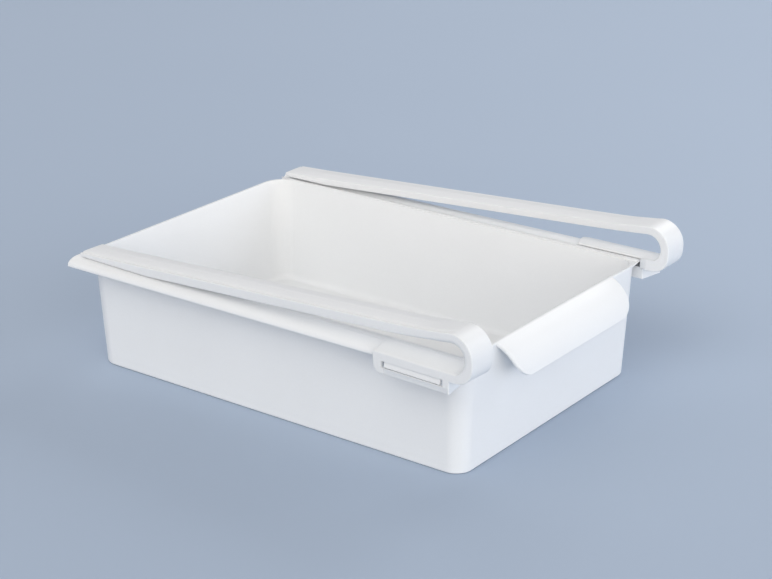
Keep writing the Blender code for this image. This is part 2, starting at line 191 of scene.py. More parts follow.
# Materials: colours, sheen, and how many noise cells there are in a metre
TUB_WHITE = (0.87, 0.88, 0.89)
CLIP_WHITE = (0.84, 0.85, 0.86)
TUB_ROUGHNESS = 0.31
CLIP_ROUGHNESS = 0.305
ROUGHNESS_SPREAD = 0.02
PLASTIC_IOR = 1.49
PLASTIC_SPECULAR = 0.34
EDGE_ROUNDING = 0.3
CLOUD_SCALE = 14.0
SPECK_SCALE = 900.0
WEAR_SCALE = 70.0
SWAY_SCALE = 11.0
GRAIN_SCALE = 2200.0
CLOUD_SHADE = 0.985
SPECK_SHADE = 0.985
FLOOR_TONES = ((0.420, 0.500, 0.620, 1.0), (0.435, 0.515, 0.635, 1.0))
FLOOR_CLOUD_SCALE = 2.5

# Floor: half its side and its depth below the tub, in metres
FLOOR_REACH = 6.0
FLOOR_DROP = 0.0002

# Broad lights all round: azimuth and elevation in degrees from +X, and colour times strength
LOBE_POWER = 10.0
LIGHT_LOBES = (
    (0.0, 10.0, (1.03, 1.08, 1.18)),
    (60.0, 38.0, (1.57, 1.57, 1.62)),
    (120.0, 7.0, (1.38, 1.35, 1.42)),
    (185.0, 45.0, (3.1, 3.08, 3.02)),
    (240.0, 3.0, (4.25, 4.0, 3.65)),
    (285.0, 3.0, (2.4, 2.65, 3.1)),
)

# Softboxes: name, direction, distance and side in metres, power
SOFTBOXES = (
    ("front_box", (0.55, -0.63, 0.55), 1.15, 0.45, 1.2),
    ("side_box", (0.80, -0.07, 0.60), 2.0, 0.8, 5.5),
)
SOFTBOX_TARGET = Vector((0.0, 0.0, 0.04))
BACKDROP = (0.36, 0.42, 0.51)

# The photograph's camera: angles in degrees, focal length in pixels, place in metres
CAMERA_TURN = -52.739
CAMERA_DOWN = 21.330
CAMERA_ROLL = -0.634
CAMERA_PLACE = Vector((-0.91139, -0.71473, 0.50623))
FOCAL_PIXELS = 1899.1
PICTURE_WIDTH = 772
SENSOR_WIDTH = 36.0

# Places worked out from the sizes
HALF_WIDTH = RIM_WIDTH / 2
HALF_LENGTH = RIM_LENGTH / 2
RAIL_OUTER = HALF_WIDTH + RAIL_WIDTH
RAIL_FRONT = -HALF_LENGTH + RAIL_FRONT_INSET
RAIL_REAR = HALF_LENGTH - RAIL_REAR_INSET
CROWN_X = HALF_WIDTH + CROWN_OFFSET
CROWN_Z = TUB_HEIGHT + CROWN_RISE
ROLL_Z = CROWN_Z - ROLL_DROP
LIP_Z = ROLL_Z - LIP_DEPTH
STRIP_INNER = HALF_WIDTH - STRIP_INSET
PLATE_INNER = STRIP_INNER + PLATE_INSET
BRACKET_OUTER = RAIL_OUTER + SIDE_PLAY + BRACKET_WALL
BRACKET_INNER = HALF_WIDTH + BOX_WALL_GAP
BRACKET_FRONT = -HALF_LENGTH - BRACKET_REACH
BRACKET_REAR = BRACKET_FRONT + BRACKET_LENGTH
FLOOR_Z = LIP_Z - FLOOR_GAP
BASE_Z = TUB_HEIGHT + STRIP_LEVEL - LOWER_THICKNESS
PLATE_CROWN = CROWN_Z + PLATE_GAP + PLATE_THICKNESS
BEND_Y = -HALF_LENGTH - BEND_REACH + BEND_RADIUS
BEND_Z = BASE_Z + BEND_RADIUS
ARM_REAR = HALF_LENGTH - ARM_REAR_INSET
ARM_TOUCH = ARM_REAR - ARM_REST_LENGTH
ARM_TOUCH_Z = CROWN_Z + ARM_REST_GAP


# ---------------------------------------------------------------- mesh tools

def loft(name, rings):
    """A closed solid through rings of equal point count, in millimetres."""
    data = bmesh.new()
    rows = [[data.verts.new([c * MM for c in point]) for point in ring] for ring in rings]
    count = len(rows[0])
    for low, high in zip(rows, rows[1:]):
        for i in range(count):
            j = (i + 1) % count
            data.faces.new((low[i], low[j], high[j], high[i]))
    data.faces.new(rows[0])
    data.faces.new(rows[-1])
    bmesh.ops.recalc_face_normals(data, faces=data.faces)
    mesh = bpy.data.meshes.new(name)
    data.to_mesh(mesh)
    data.free()
    item = bpy.data.objects.new(name, mesh)
    bpy.context.scene.collection.objects.link(item)
    return item


def fuse(item, forms):
    """Joins or cuts the forms, one after another, and keeps only the result."""
    for form, operation in forms:
        modifier = item.modifiers.new(form.name, "BOOLEAN")
        modifier.operation = operation
        modifier.solver = "EXACT"
        modifier.object = form
    graph = bpy.context.evaluated_depsgraph_get()
    mesh = bpy.data.meshes.new_from_object(item.evaluated_get(graph))
    item.modifiers.clear()
    old = item.data
    item.data = mesh
    bpy.data.meshes.remove(old)
    for form, operation in forms:
        bpy.data.objects.remove(form, do_unlink=True)
    tidy = bmesh.new()
    tidy.from_mesh(item.data)
    bmesh.ops.remove_doubles(tidy, verts=tidy.verts, dist=MERGE_DISTANCE)
    tidy.to_mesh(item.data)
    tidy.free()
    return item


def finish_piece(item, material, body, node):
    """Smooth shading with crisp edges, and the piece's place in the frame."""
    item.data.materials.clear()
    item.data.materials.append(material)
    for polygon in item.data.polygons:
        polygon.material_index = 0
    item.data.shade_smooth()
    item.data.set_sharp_from_angle(angle=math.radians(SHARP_ANGLE))
    weighted = item.modifiers.new("even_normals", "WEIGHTED_NORMAL")
    weighted.keep_sharp = True
    weighted.weight = 80
    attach(item, body)
    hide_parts(node)


def eased(start, end, share):
    """Moves from start to end, slowly at both ends."""
    return start + (end - start) * (1 - math.cos(math.pi * share)) / 2


def spread(start, end, count):
    """Evenly spaced values, both ends included."""
    return [start + (end - start) * i / (count - 1) for i in range(count)]


def edge_samples(edge, steps=4):
    """Distances in from a side that follow its rounded edge."""
    return [edge * (1 - math.cos(math.pi / 2 * i / steps)) for i in range(steps + 1)]


def edge_drop(near, edge):
    """How far a rounded edge falls away at a distance in from its side."""
    if near >= edge:
        return 0.0
    return edge - math.sqrt(max(edge ** 2 - (edge - near) ** 2, 0.0))


def mirrored(points, side):
    return [(side * x, y, z) for x, y, z in points]


# ---------------------------------------------------------------- tub

def rounded_rectangle(half_x, half_y, radii, height_at):
    """A ring with its own corner radius at the front and at the rear."""
    ring = []
    for side_x, side_y, start in ((1, 1, 0), (-1, 1, 90), (-1, -1, 180), (1, -1, 270)):
        radius = radii[0] if side_y < 0 else radii[1]
        for step in range(CORNER_STEPS + 1):
            angle = math.radians(start + 90 * step / CORNER_STEPS)
            x = side_x * (half_x - radius) + radius * math.cos(angle)
            y = side_y * (half_y - radius) + radius * math.sin(angle)
            ring.append((x, y, height_at(y)))
    return ring


def rim_height(y):
    return TUB_HEIGHT + RIM_RISE * y / RIM_LENGTH


def wall_ring(inset, z, height_at):
    """The flared wall's outline at one height."""
    share = z / TUB_HEIGHT
    half_x = (BASE_WIDTH + (RIM_WIDTH - BASE_WIDTH) * share) / 2 - inset
    half_y = (BASE_LENGTH + (RIM_LENGTH - BASE_LENGTH) * share) / 2 - inset
    front = FRONT_CORNER - FRONT_FLARE * (1 - share) - inset
    rear = REAR_CORNER + REAR_FLARE * share - inset
    return rounded_rectangle(half_x, half_y, (front, rear), height_at)


def flared_rings(inset, floor_z, edge, steps):
    """Rings of a flared wall's rounded bottom edge."""
    rings = []
    for step in range(steps + 1):
        angle = math.pi / 2 * step / steps
        z = floor_z + edge * (1 - math.cos(angle))
        rings.append(wall_ring(inset + edge * (1 - math.sin(angle)), z, lambda y, z=z: z))
    return rings


def tub_form():
    """Outside of the tub, with a rounded bottom edge and a rounded rim."""
    rings = flared_rings(0.0, 0.0, BASE_RADIUS, 5)
    for z in WALL_LEVELS:
        rings.append(wall_ring(0.0, z, lambda y, z=z: z))
    for step in range(5):
        angle = math.pi / 2 * step / 4
        below = RIM_RADIUS * (1 - math.sin(angle))
        pull = RIM_RADIUS * (1 - math.cos(angle))
        rings.append(wall_ring(pull, TUB_HEIGHT, lambda y, b=below: rim_height(y) - b))
    return loft("drawer_tub_fine", rings)


def cavity_form():
    rings = flared_rings(TUB_WALL, TUB_FLOOR, CAVITY_RADIUS, 8)
    for z in (*WALL_LEVELS, TUB_HEIGHT + CAVITY_OVERSHOOT):
        rings.append(wall_ring(TUB_WALL, z, lambda y, z=z: z))
    return loft("cavity_form", rings)


def rail_section():
    """The rail's closed outline (x, z) on the right side."""
    knots = (
        (RIDGE_OFFSET, TUB_HEIGHT + RIDGE_RISE),
        (DIP_OFFSET, TUB_HEIGHT + DIP_RISE),
        (CROWN_OFFSET, CROWN_Z),
    )
    top = []
    for (x0, z0), (x1, z1) in zip(knots, knots[1:]):
        for share in spread(0, 1, 9)[:-1]:
            top.append((HALF_WIDTH + x0 + (x1 - x0) * share, eased(z0, z1, share)))
    top.append((CROWN_X, CROWN_Z))

    def roll(inset):
        points = []
        for step in range(1, ROLL_STEPS + 1):
            angle = math.pi / 2 * step / ROLL_STEPS
            x = CROWN_X + (RAIL_OUTER - CROWN_X - inset) * math.sin(angle)
            points.append((x, ROLL_Z + (ROLL_DROP - inset) * math.cos(angle)))
        return points

    root_x = HALF_WIDTH - RAIL_ROOT
    root_z = TUB_HEIGHT - RIM_RISE / 2
    outline = [(root_x, root_z - RAIL_THICKNESS), (root_x, root_z)]
    outline += [(HALF_WIDTH - TUB_WALL / 2, root_z)] + top + roll(0.0)
    lip = [(RAIL_OUTER - u, LIP_Z + edge_drop(u, LIP_RADIUS)) for u in edge_samples(LIP_RADIUS)]
    inner_lip = [(2 * RAIL_OUTER - RAIL_THICKNESS - x, z) for x, z in reversed(lip)]
    outline += lip + inner_lip
    outline += roll(RAIL_THICKNESS)[::-1]
    outline += [(x, z - RAIL_THICKNESS) for x, z in reversed(top) if x > HALF_WIDTH - TUB_WALL / 4]
    return outline


def shrunk(outline, amount):
    """The outline moved inward along its own normals."""
    count = len(outline)
    pairs = [(outline[i - 1], outline[i]) for i in range(count)]
    area = sum(p[0] * q[1] - q[0] * p[1] for p, q in pairs)
    turn = 1.0 if area > 0 else -1.0
    result = []
    for i in range(count):
        (x0, z0), (x1, z1), (x2, z2) = outline[i - 1], outline[i], outline[(i + 1) % count]
        a = Vector((x1 - x0, z1 - z0))
        b = Vector((x2 - x1, z2 - z1))
        a.normalize()
        b.normalize()
        along = (a + b).normalized() if (a + b).length > 1e-6 else a
        result.append((x1 - along.y * amount * turn, z1 + along.x * amount * turn))
    return result


def rail_form(side):
    """A rail from front to rear; its rear end slants back towards the outside."""
    outline = rail_section()
    rings = []
    for step in range(4):
        angle = math.pi / 2 * step / 3
        inset = RAIL_END_RADIUS * (1 - math.sin(angle)) * RAIL_END_SHRINK
        back = RAIL_END_RADIUS * (1 - math.cos(angle))
        ring = shrunk(outline, inset)
        rings.append((RAIL_FRONT + back, ring))
    rows = [mirrored([(x, y, z) for x, z in ring], side) for y, ring in rings]
    for y, ring in reversed(rings):
        rear = RAIL_REAR - (y - RAIL_FRONT)
        slant = RAIL_REAR_SLANT / RAIL_WIDTH
        slanted = [(x, rear + slant * max(0.0, x - HALF_WIDTH), z) for x, z in ring]
        rows.append(mirrored(slanted, side))
    return loft("rail_form_right" if side > 0 else "rail_form_left", rows)


def pull_half_width(arc, arc_length):
    """Half width of the lip at a distance along its arc, with rounded end corners."""
    corner_start = arc_length - PULL_CORNER
    if arc <= corner_start:
        return PULL_HALF_WIDTH - PULL_TAPER * arc / corner_start
    rise = min(arc - corner_start, PULL_CORNER)
    flat = PULL_HALF_WIDTH - PULL_TAPER - PULL_CORNER
    return flat + math.sqrt(max(PULL_CORNER ** 2 - rise ** 2, 0.0))


def pull_form():
    """The pull lip: an arc in side view, with rounded corners and rounded edges."""
    start = math.radians(PULL_START)
    end = math.radians(PULL_END)
    arc_length = PULL_CURVE * (end - start)
    top_z = rim_height(-HALF_LENGTH)
    center_y = -HALF_LENGTH + PULL_ROOT_INSET + PULL_CURVE * math.sin(start)
    center_z = top_z - PULL_CURVE * math.cos(start)

    def ring_at(angle, half, shrink):
        """Loop round the lip: along the top, round one side edge, back below."""
        low = PULL_THICKNESS - shrink
        high = shrink
        edge = min(PULL_EDGE, (low - high) / 2 - 0.02)
        points = []
        for t in spread(-1, 1, 9):
            points.append((t * (half - edge), high))
        for a in (30, 60, 90):
            r = math.radians(a)
            points.append((half - edge + edge * math.sin(r), high + edge * (1 - math.cos(r))))
        for a in (0, 30, 60):
            r = math.radians(a)
            points.append((half - edge + edge * math.cos(r), low - edge * (1 - math.sin(r))))
        for t in spread(1, -1, 9):
            points.append((t * (half - edge), low))
        for a in (30, 60, 90):
            r = math.radians(a)
            points.append((-half + edge - edge * math.sin(r), low - edge * (1 - math.cos(r))))
        for a in (0, 30, 60):
            r = math.radians(a)
            points.append((-half + edge - edge * math.cos(r), high + edge * (1 - math.sin(r))))
        ring = []
        for x, depth in points:
            radius = PULL_CURVE - depth
            ring.append((x, center_y - radius * math.sin(angle), center_z + radius * math.cos(angle)))
        return ring

    rings = []
    root = ring_at(start, PULL_HALF_WIDTH, 0.0)
    shift = -HALF_LENGTH + PULL_ROOT_DEPTH - (center_y - PULL_CURVE * math.sin(start))
    rings.append([(x, y + shift, z) for x, y, z in root])
    for step in range(PULL_STEPS + 1):
        share = math.sin(math.pi / 2 * step / PULL_STEPS)
        angle = start + (end - start - PULL_EDGE / PULL_CURVE) * share
        rings.append(ring_at(angle, pull_half_width(PULL_CURVE * (angle - start), arc_length), 0.0))
    for a in (30, 60, 85):
        r = math.radians(a)
        angle = end - PULL_EDGE / PULL_CURVE * (1 - math.sin(r))
        half = pull_half_width(PULL_CURVE * (angle - start), arc_length)
        rings.append(ring_at(angle, half, PULL_EDGE * (1 - math.cos(r))))
    return loft("pull_form", rings)


def make_tub(material):
    """The outside with rails and pull lip, hollowed last so that the cavity stays clean."""
    body = tub_form()
    forms = [
        (rail_form(1), "UNION"),
        (rail_form(-1), "UNION"),
        (pull_form(), "UNION"),
        (cavity_form(), "DIFFERENCE"),
    ]
    fuse(body, forms)
    finish_piece(body, material, "tub", "drawer_tub")
    return body


# ---------------------------------------------------------------- clips

def outer_samples(border):
    """Distances across the strip's outer side, with both grooves among them."""
    line = STRIP_WIDTH - border
    samples = edge_samples(STRIP_EDGE)
    cut = line + BORDER_CUT_PLACE
    samples += [CREASE_OFFSET * 0.3, CREASE_OFFSET * 0.6]
    samples += [CREASE_OFFSET + CREASE_REACH * share for share in (-1.0, -0.5, 0.0, 0.5, 1.0)]
    samples += [(CREASE_OFFSET + line) / 2, line - BORDER_RAMP_START]
    samples += [cut + BORDER_CUT_REACH * share for share in (-1.0, -0.5, 0.0, 0.5, 1.0)]
    samples += [(cut + BORDER_CUT_REACH + STRIP_WIDTH - STRIP_EDGE) / 2]
    samples += [STRIP_WIDTH - u for u in reversed(edge_samples(STRIP_EDGE))]
    return samples


def outer_depth(u, crease, border_relief, border):
    """Depth below the outer surface: crease slope, crease groove and lowered border."""
    line = STRIP_WIDTH - border
    beyond = (u - CREASE_OFFSET) / (line - CREASE_OFFSET)
    from_crease = min(1.0, abs(u - CREASE_OFFSET) / CREASE_REACH)
    drop = crease * CREASE_DROP * max(0.0, 1 - u / CREASE_OFFSET)
    drop += crease * OUTER_FALL * max(0.0, min(1.0, beyond))
    drop += crease * eased(CREASE_CUT, 0.0, from_crease)
    if u > line - BORDER_RAMP_START:
        ramp = min(1.0, (u - line + BORDER_RAMP_START) / BORDER_RAMP)
        from_cut = abs(u - line - BORDER_CUT_PLACE) / BORDER_CUT_REACH
        drop += border_relief * eased(0.0, BORDER_DROP, ramp)
        drop += border_relief * BORDER_CUT * max(0.0, 1 - from_cut)
    return drop + edge_drop(min(u, STRIP_WIDTH - u), STRIP_EDGE)


def inner_samples(fillet):
    """Distances across the strip's inner side, with a larger fillet at the open side."""
    samples = edge_samples(STRIP_EDGE)
    samples += spread(2.0, STRIP_WIDTH - HOLE_FILLET - 1.0, 12)
    samples += [STRIP_WIDTH - u for u in reversed(edge_samples(fillet, 5))]
    return samples


def strip_section(inner, outer, crease, border_relief, fillet, border=BORDER_WIDTH):
    """Section of the strip as (distance across, depth below the outer surface)."""
    top = [(u, outer_depth(u, crease, border_relief, border)) for u in outer_samples(border)]
    low = []
    for u in inner_samples(fillet):
        depth = inner + (outer - inner) * u / STRIP_WIDTH
        rounding = edge_drop(u, STRIP_EDGE) + edge_drop(STRIP_WIDTH - u, fillet)
        low.append((u, depth - rounding))
    return top + low[::-1]


def plate_top(x):
    """Height of the lower arm's plate over the rail."""
    if x < CROWN_X:
        share = (x - PLATE_INNER) / (CROWN_X - PLATE_INNER)
        return eased(PLATE_CROWN - PLATE_FALL, PLATE_CROWN, share)
    beyond = x - CROWN_X
    curved = min(beyond, PLATE_CURVE)
    drop = PLATE_CURVE_DROP * (curved / PLATE_CURVE) ** 2
    return PLATE_CROWN - drop - PLATE_SLOPE * (beyond - curved)


def roof_height(x):
    """Height of the channel's roof, the plate's underside."""
    if x < CROWN_X:
        share = (x - PLATE_INNER) / (CROWN_X - ROOF_LEVEL - PLATE_INNER)
        crown = PLATE_CROWN - PLATE_THICKNESS
        return eased(crown - ROOF_FALL, crown, min(share, 1.0))
    return plate_top(x) - PLATE_THICKNESS


def plate_section(top_drop):
    """Section of the lower arm over the rail, as many points as the strip has."""
    width = BRACKET_OUTER - PLATE_INNER
    below = spread(0.0, width, len(outer_samples(BORDER_WIDTH)))
    middle = spread(PLATE_EDGE + 0.6, width - PLATE_EDGE - 1.0, 12)
    above = edge_samples(PLATE_EDGE) + middle
    above += [width - u for u in reversed(edge_samples(PLATE_EDGE, 5))]
    outer = [(u + PLATE_INNER - STRIP_INNER, 0.0) for u in below]
    inner = []
    for u in above:
        top = plate_top(PLATE_INNER + u) - edge_drop(min(u, width - u), PLATE_EDGE) - top_drop
        inner.append((u + PLATE_INNER - STRIP_INNER, top - BASE_Z))
    return outer + inner[::-1]


def placed(section, y, z, direction):
    """Stands a section at a place on the strip's path, turned to its direction."""
    normal_y = math.sin(direction)
    normal_z = math.cos(direction)
    return [(STRIP_INNER + u, y + normal_y * n, z + normal_z * n) for u, n in section]


def arm_path():
    """Places along the arm's top as (y, z, slope)."""
    leave = math.radians(LEAVE_ANGLE)
    start_y = BEND_Y + BEND_RADIUS * math.sin(leave)
    start_z = BEND_Z + BEND_RADIUS * math.cos(leave)
    steep = math.tan(leave)
    straight_y = start_y + SETTLE_LENGTH
    fall = start_z - ARM_TOUCH_Z - STRIP_THICKNESS - steep * SETTLE_LENGTH / 2
    gentle = fall / (ARM_TOUCH - straight_y + SETTLE_LENGTH / 2)
    path = []
    for run in (*ARM_RUNS, SETTLE_LENGTH):
        slope = steep + (gentle - steep) * run / SETTLE_LENGTH
        path.append((start_y + run, start_z - run * (steep + slope) / 2, slope))
    straight_z = path[-1][1]
    outer_touch = ARM_TOUCH - (STRIP_OUTER_THICKNESS - STRIP_THICKNESS) / gentle
    stops = spread(straight_y, outer_touch, 8)[1:] + [ARM_TOUCH]
    stops += spread(ARM_TOUCH, ARM_REAR - 1.2, 5)[1:]
    stops += [ARM_REAR - 1.0, ARM_REAR - 0.5, ARM_REAR - 0.15, ARM_REAR]
    for y in stops:
        path.append((y, straight_z - gentle * (y - straight_y), gentle))
    return path


def bend_bulge(angle):
    """Extra radius of the bend's lower quarter, which is squarer than a circle."""
    if angle >= math.pi / 2:
        return 0.0
    power = BEND_SQUARENESS
    squared = math.sin(angle) ** power + math.cos(angle) ** power
    return BEND_RADIUS * (squared ** (-1 / power) - 1)


def shelved(ring):
    """Holds the hole's lower side up to the plate's surface and its sloping front corner."""
    start = len(outer_samples(BORDER_WIDTH))
    held = list(ring[:start])
    outer = plate_top(BRACKET_OUTER)
    for x, y, z in ring[start:]:
        edge = edge_drop(STRIP_INNER + STRIP_WIDTH - x, STRIP_EDGE)
        plate = plate_top(max(x, PLATE_INNER)) - edge
        corner = outer + HOLE_CORNER_SLOPE * (BEND_Y - HOLE_CORNER_REACH - y)
        held.append((x, y, max(z, plate, corner)))
    return held


def hairpin_rings():
    """Sections from the bracket's rear, forward, round the bend and back along the arm."""
    slant = BRACKET_SLANT / (BRACKET_OUTER - PLATE_INNER)
    rings = []
    for step in range(5):
        angle = math.pi / 2 * step / 4
        y = BRACKET_REAR - PLATE_EDGE * (1 - math.cos(angle))
        row = placed(plate_section(PLATE_EDGE * (1 - math.sin(angle))), y, BASE_Z, 0.0)
        rings.append([(x, y + slant * (x - PLATE_INNER), z) for x, y, z in row])
    plate = plate_section(0.0)
    lower = strip_section(LOWER_THICKNESS, LOWER_THICKNESS, 0.0, 0.0, HOLE_FILLET)
    rear = placed(plate, BRACKET_REAR - 8.0, BASE_Z, 0.0)
    rings.append([(x, y + slant * 0.4 * (x - PLATE_INNER), z) for x, y, z in rear])
    rings.append(placed(plate, BRACKET_REAR - 20.0, BASE_Z, 0.0))
    first = placed(plate, 0.0, BASE_Z, 0.0)
    last = shelved(placed(lower, BEND_Y, BASE_Z, 0.0))
    for step in range(10):
        share = step / 10
        y = BEND_Y + BRACKET_BLEND * (1 - share)
        pairs = zip(first, last)
        rings.append([(eased(a[0], b[0], share), y, eased(a[2], b[2], share)) for a, b in pairs])
    sweep = math.pi + math.radians(LEAVE_ANGLE)
    wide_border = BORDER_WIDTH + BORDER_WIDENING
    for step in range(BEND_STEPS + 1):
        share = step / BEND_STEPS
        angle = sweep * share
        inner = LOWER_THICKNESS + (STRIP_THICKNESS - LOWER_THICKNESS) * share
        outer = LOWER_THICKNESS + (STRIP_OUTER_THICKNESS - LOWER_THICKNESS) * share
        bulge = bend_bulge(angle)
        y = BEND_Y - (BEND_RADIUS + bulge) * math.sin(angle)
        z = BEND_Z - (BEND_RADIUS + bulge) * math.cos(angle)
        relief = RELIEF_AT_BEND * max(0.0, (share - RELIEF_SHARE) / (1 - RELIEF_SHARE))
        section = strip_section(inner + bulge, outer + bulge, 0.0, relief, HOLE_FILLET, wide_border)
        ring = placed(section, y, z, angle)
        rings.append(shelved(ring) if angle < math.pi / 2 else ring)
    for y, z, slope in arm_path():
        run = y - BEND_Y
        inner = min(STRIP_THICKNESS, z - ARM_TOUCH_Z)
        outer = min(STRIP_OUTER_THICKNESS, z - ARM_TOUCH_Z)
        crease = min(1.0, max(0.0, (run - CREASE_START) / CREASE_GROWTH))
        crease *= eased(CREASE_AT_END, 1.0, min(1.0, (ARM_REAR - y) / CREASE_FADE))
        relief = min(1.0, RELIEF_AT_BEND + run / RELIEF_GROWTH)
        border = BORDER_WIDTH + BORDER_WIDENING * (1 - min(1.0, run / BORDER_SETTLE)) ** 2
        fillet = STRIP_EDGE + (HOLE_FILLET - STRIP_EDGE) * max(0.0, 1 - run / FILLET_SETTLE)
        section = strip_section(inner, outer, crease, relief, fillet, border)
        rings.append(placed(section, y, z, math.pi + math.atan(slope)))
    for back, share in ((1, 0.75), (2, 0.3), (3, 0.08)):
        ring = rings[-back]
        middle = sum(z for x, y, z in ring) / len(ring)
        rings[-back] = [(x, y, z + (middle - z) * 0.12 * share) for x, y, z in ring]
    rings[-1] = [(x, ARM_REAR, max(z, ARM_TOUCH_Z)) for x, y, z in rings[-1]]
    return rings


def box_rings():
    """The bracket's lower box, with rounded outer edges and a rounded lower rear corner."""
    bottom = FLOOR_Z - BOX_DEPTH
    top = BASE_Z + STRIP_EDGE
    rings = []
    places = [(BRACKET_INNER, BOX_INNER_EDGE)]
    places += [(BRACKET_INNER + BOX_INNER_EDGE / 2, BOX_INNER_EDGE / 3)]
    places += [(BRACKET_INNER + BOX_INNER_EDGE, 0.0)]
    places += [(BRACKET_OUTER - u, edge_drop(u, BOX_EDGE)) for u in reversed(edge_samples(BOX_EDGE))]
    for x, pull in places:
        share = (x - BRACKET_INNER) / (BRACKET_OUTER - BRACKET_INNER)
        rear = BRACKET_REAR + BRACKET_SLANT * share - pull
        low = bottom + pull
        front = BRACKET_FRONT + BRACKET_FRONT_SLANT * (1 - share) + pull
        ring = [(x, front, top), (x, front, low)]
        radius = BOX_CORNER - pull
        for step in range(13):
            angle = math.pi / 2 * step / 12
            y = rear - radius * (1 - math.sin(angle))
            ring.append((x, y, low + radius * (1 - math.cos(angle))))
        ring.append((x, rear, top))
        rings.append(ring)
    return rings


def block(x0, x1, y0, y1, z0, z1):
    return [[(x0, y, z0), (x1, y, z0), (x1, y, z1), (x0, y, z1)] for y in (y0, y1)]


def prism(outline, y0, y1):
    return [[(x, y, z) for x, z in outline] for y in (y0, y1)]


def channel_rings():
    """The room for the rail inside the bracket."""
    outer = RAIL_OUTER + SIDE_PLAY
    inner = STRIP_INNER - STRIP_WIDTH
    below = BASE_Z - STRIP_THICKNESS
    outline = [(inner, below), (inner, roof_height(PLATE_INNER))]
    outline += [(x, roof_height(x)) for x in spread(PLATE_INNER, outer - 0.3, 22)]
    outline += [(outer, roof_height(outer)), (outer, FLOOR_Z)]
    outline += [(BRACKET_INNER, FLOOR_Z), (BRACKET_INNER, below)]
    return prism(outline, RAIL_FRONT - END_PLAY, BRACKET_REAR + STRIP_WIDTH)


def clip_forms():
    """The bracket's shapes: name, rings and how each joins the strip."""
    bottom = FLOOR_Z - BOX_DEPTH
    low = FLOOR_Z - WINDOW_HEIGHT
    front = BRACKET_FRONT + WINDOW_FRONT
    rear = BRACKET_REAR - WINDOW_REAR
    face = BRACKET_OUTER - BRACKET_WALL
    hollow = block(
        BRACKET_INNER + BRACKET_WALL, face,
        BRACKET_FRONT + BRACKET_WALL + BRACKET_FRONT_SLANT, BRACKET_REAR - BRACKET_WALL,
        bottom - BOX_DEPTH, FLOOR_Z - FLOOR_THICKNESS,
    )
    window = block(face - BRACKET_WALL, BRACKET_OUTER + BRACKET_WALL, front, rear, low, FLOOR_Z)
    tongue_low = low + TONGUE_GAP
    tongue_top = FLOOR_Z + TONGUE_OVERLAP
    bar = BRACKET_OUTER - TONGUE_RECESS
    tongue = prism([
        (face, tongue_low), (bar - TONGUE_BEVEL, tongue_low), (bar, tongue_low + TONGUE_BEVEL),
        (bar - TONGUE_LEAN, tongue_top), (face, tongue_top),
    ], front + TONGUE_SLOT, rear - TONGUE_SLOT)
    out = BRACKET_OUTER + CUT_MARGIN
    below = bottom - CUT_MARGIN
    step_z = bottom + CHIN_HEIGHT * CHIN_STEP_SHARE
    chin = prism([
        (out, bottom + CHIN_HEIGHT), (BRACKET_OUTER - 0.12, bottom + CHIN_HEIGHT),
        (BRACKET_OUTER - CHIN_DEPTH * 0.4, step_z + 0.25), (BRACKET_OUTER - CHIN_DEPTH * 0.65, step_z),
        (BRACKET_OUTER - CHIN_DEPTH, below), (out, below),
    ], BRACKET_FRONT + CHIN_FRONT_INSET, BRACKET_REAR - CHIN_REAR_INSET)
    return (
        ("box", box_rings(), "UNION"),
        ("channel", channel_rings(), "DIFFERENCE"),
        ("hollow", hollow, "DIFFERENCE"),
        ("window", window, "DIFFERENCE"),
        ("tongue", tongue, "UNION"),
        ("chin", chin, "DIFFERENCE"),
    )


def make_clip(name, side, yaw, material, body, node):
    """Builds one clip on its side of the tub, turned about its bracket's rear by the yaw."""
    turn = Matrix.Rotation(math.radians(yaw), 3, "Z")
    origin = Vector((side * STRIP_INNER, BRACKET_REAR, 0.0))

    def stood(rings):
        moved = []
        for ring in rings:
            local = [(side * (x - STRIP_INNER), y - BRACKET_REAR, z) for x, y, z in ring]
            moved.append([turn @ Vector(point) + origin for point in local])
        return moved

    clip = loft(name, stood(hairpin_rings()))
    shapes = clip_forms()
    fuse(clip, [(loft(name + "_" + form, stood(rings)), operation) for form, rings, operation in shapes])
    finish_piece(clip, material, body, node)
    return clip


# ---------------------------------------------------------------- materials

